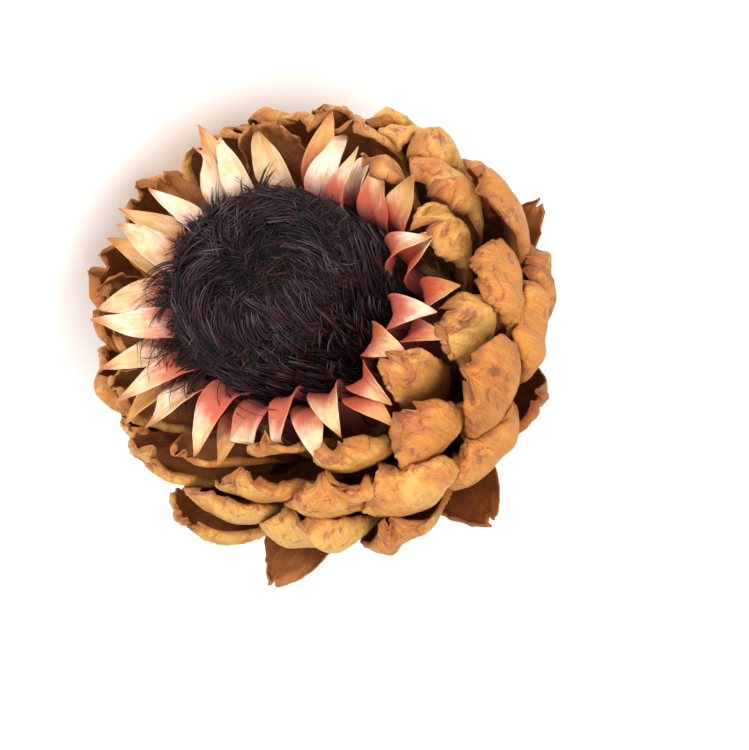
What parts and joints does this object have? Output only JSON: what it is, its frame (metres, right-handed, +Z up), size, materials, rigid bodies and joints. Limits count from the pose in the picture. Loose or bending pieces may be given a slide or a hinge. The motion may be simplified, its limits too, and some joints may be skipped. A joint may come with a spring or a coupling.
{
  "type": "dried artichoke flower",
  "caption": "Dried artichoke bloom on a short cut stem, lying on its side: a dark floret tuft ringed by papery inner bracts and curled leathery outer bracts.",
  "frame": {"origin": "under the middle of the whole flower, on the surface that it lies on", "axes": "+Y back along the flower from its face to the stem's cut end, +Z up, the flower's face towards -Y and a little up"},
  "size_m": [0.1296, 0.1726, 0.121],
  "materials": {
    "stem": "dry, ribbed and dull",
    "receptacle": "dry and dull",
    "floret_tuft": "fine dark fibres with a slight sheen",
    "inner_bract": "papery cream, redder towards the base",
    "outer_bract": "dry ochre outside, dark brown inside, satin"
  },
  "bodies": {
    "root": {"stem": "stem", "receptacle": "receptacle", "floret_tuft": "floret_tuft", "inner_bract_whorl_1": "inner_bract", "inner_bract_whorl_2": "inner_bract", "inner_bract_whorl_3": "inner_bract", "outer_bract_01": "outer_bract", "outer_bract_02": "outer_bract", "outer_bract_03": "outer_bract", "outer_bract_04": "outer_bract", "outer_bract_05": "outer_bract", "outer_bract_06": "outer_bract", "outer_bract_07": "outer_bract", "outer_bract_08": "outer_bract", "outer_bract_09": "outer_bract", "outer_bract_10": "outer_bract", "outer_bract_11": "outer_bract", "outer_bract_12": "outer_bract", "outer_bract_13": "outer_bract", "outer_bract_14": "outer_bract", "outer_bract_15": "outer_bract", "outer_bract_16": "outer_bract", "outer_bract_17": "outer_bract", "outer_bract_18": "outer_bract", "outer_bract_19": "outer_bract", "outer_bract_20": "outer_bract", "outer_bract_21": "outer_bract", "outer_bract_22": "outer_bract", "outer_bract_23": "outer_bract", "outer_bract_24": "outer_bract", "outer_bract_25": "outer_bract", "outer_bract_26": "outer_bract", "outer_bract_27": "outer_bract", "outer_bract_28": "outer_bract", "outer_bract_29": "outer_bract", "outer_bract_30": "outer_bract", "outer_bract_31": "outer_bract", "outer_bract_32": "outer_bract", "outer_bract_33": "outer_bract", "outer_bract_34": "outer_bract", "outer_bract_35": "outer_bract", "outer_bract_36": "outer_bract", "outer_bract_37": "outer_bract", "outer_bract_38": "outer_bract", "outer_bract_39": "outer_bract", "outer_bract_40": "outer_bract", "outer_bract_41": "outer_bract", "outer_bract_42": "outer_bract", "outer_bract_43": "outer_bract", "outer_bract_44": "outer_bract", "outer_bract_45": "outer_bract", "outer_bract_46": "outer_bract", "outer_bract_47": "outer_bract", "outer_bract_48": "outer_bract", "outer_bract_49": "outer_bract", "outer_bract_50": "outer_bract", "outer_bract_51": "outer_bract", "outer_bract_52": "outer_bract", "outer_bract_53": "outer_bract", "outer_bract_54": "outer_bract"}
  },
  "joints": []
}
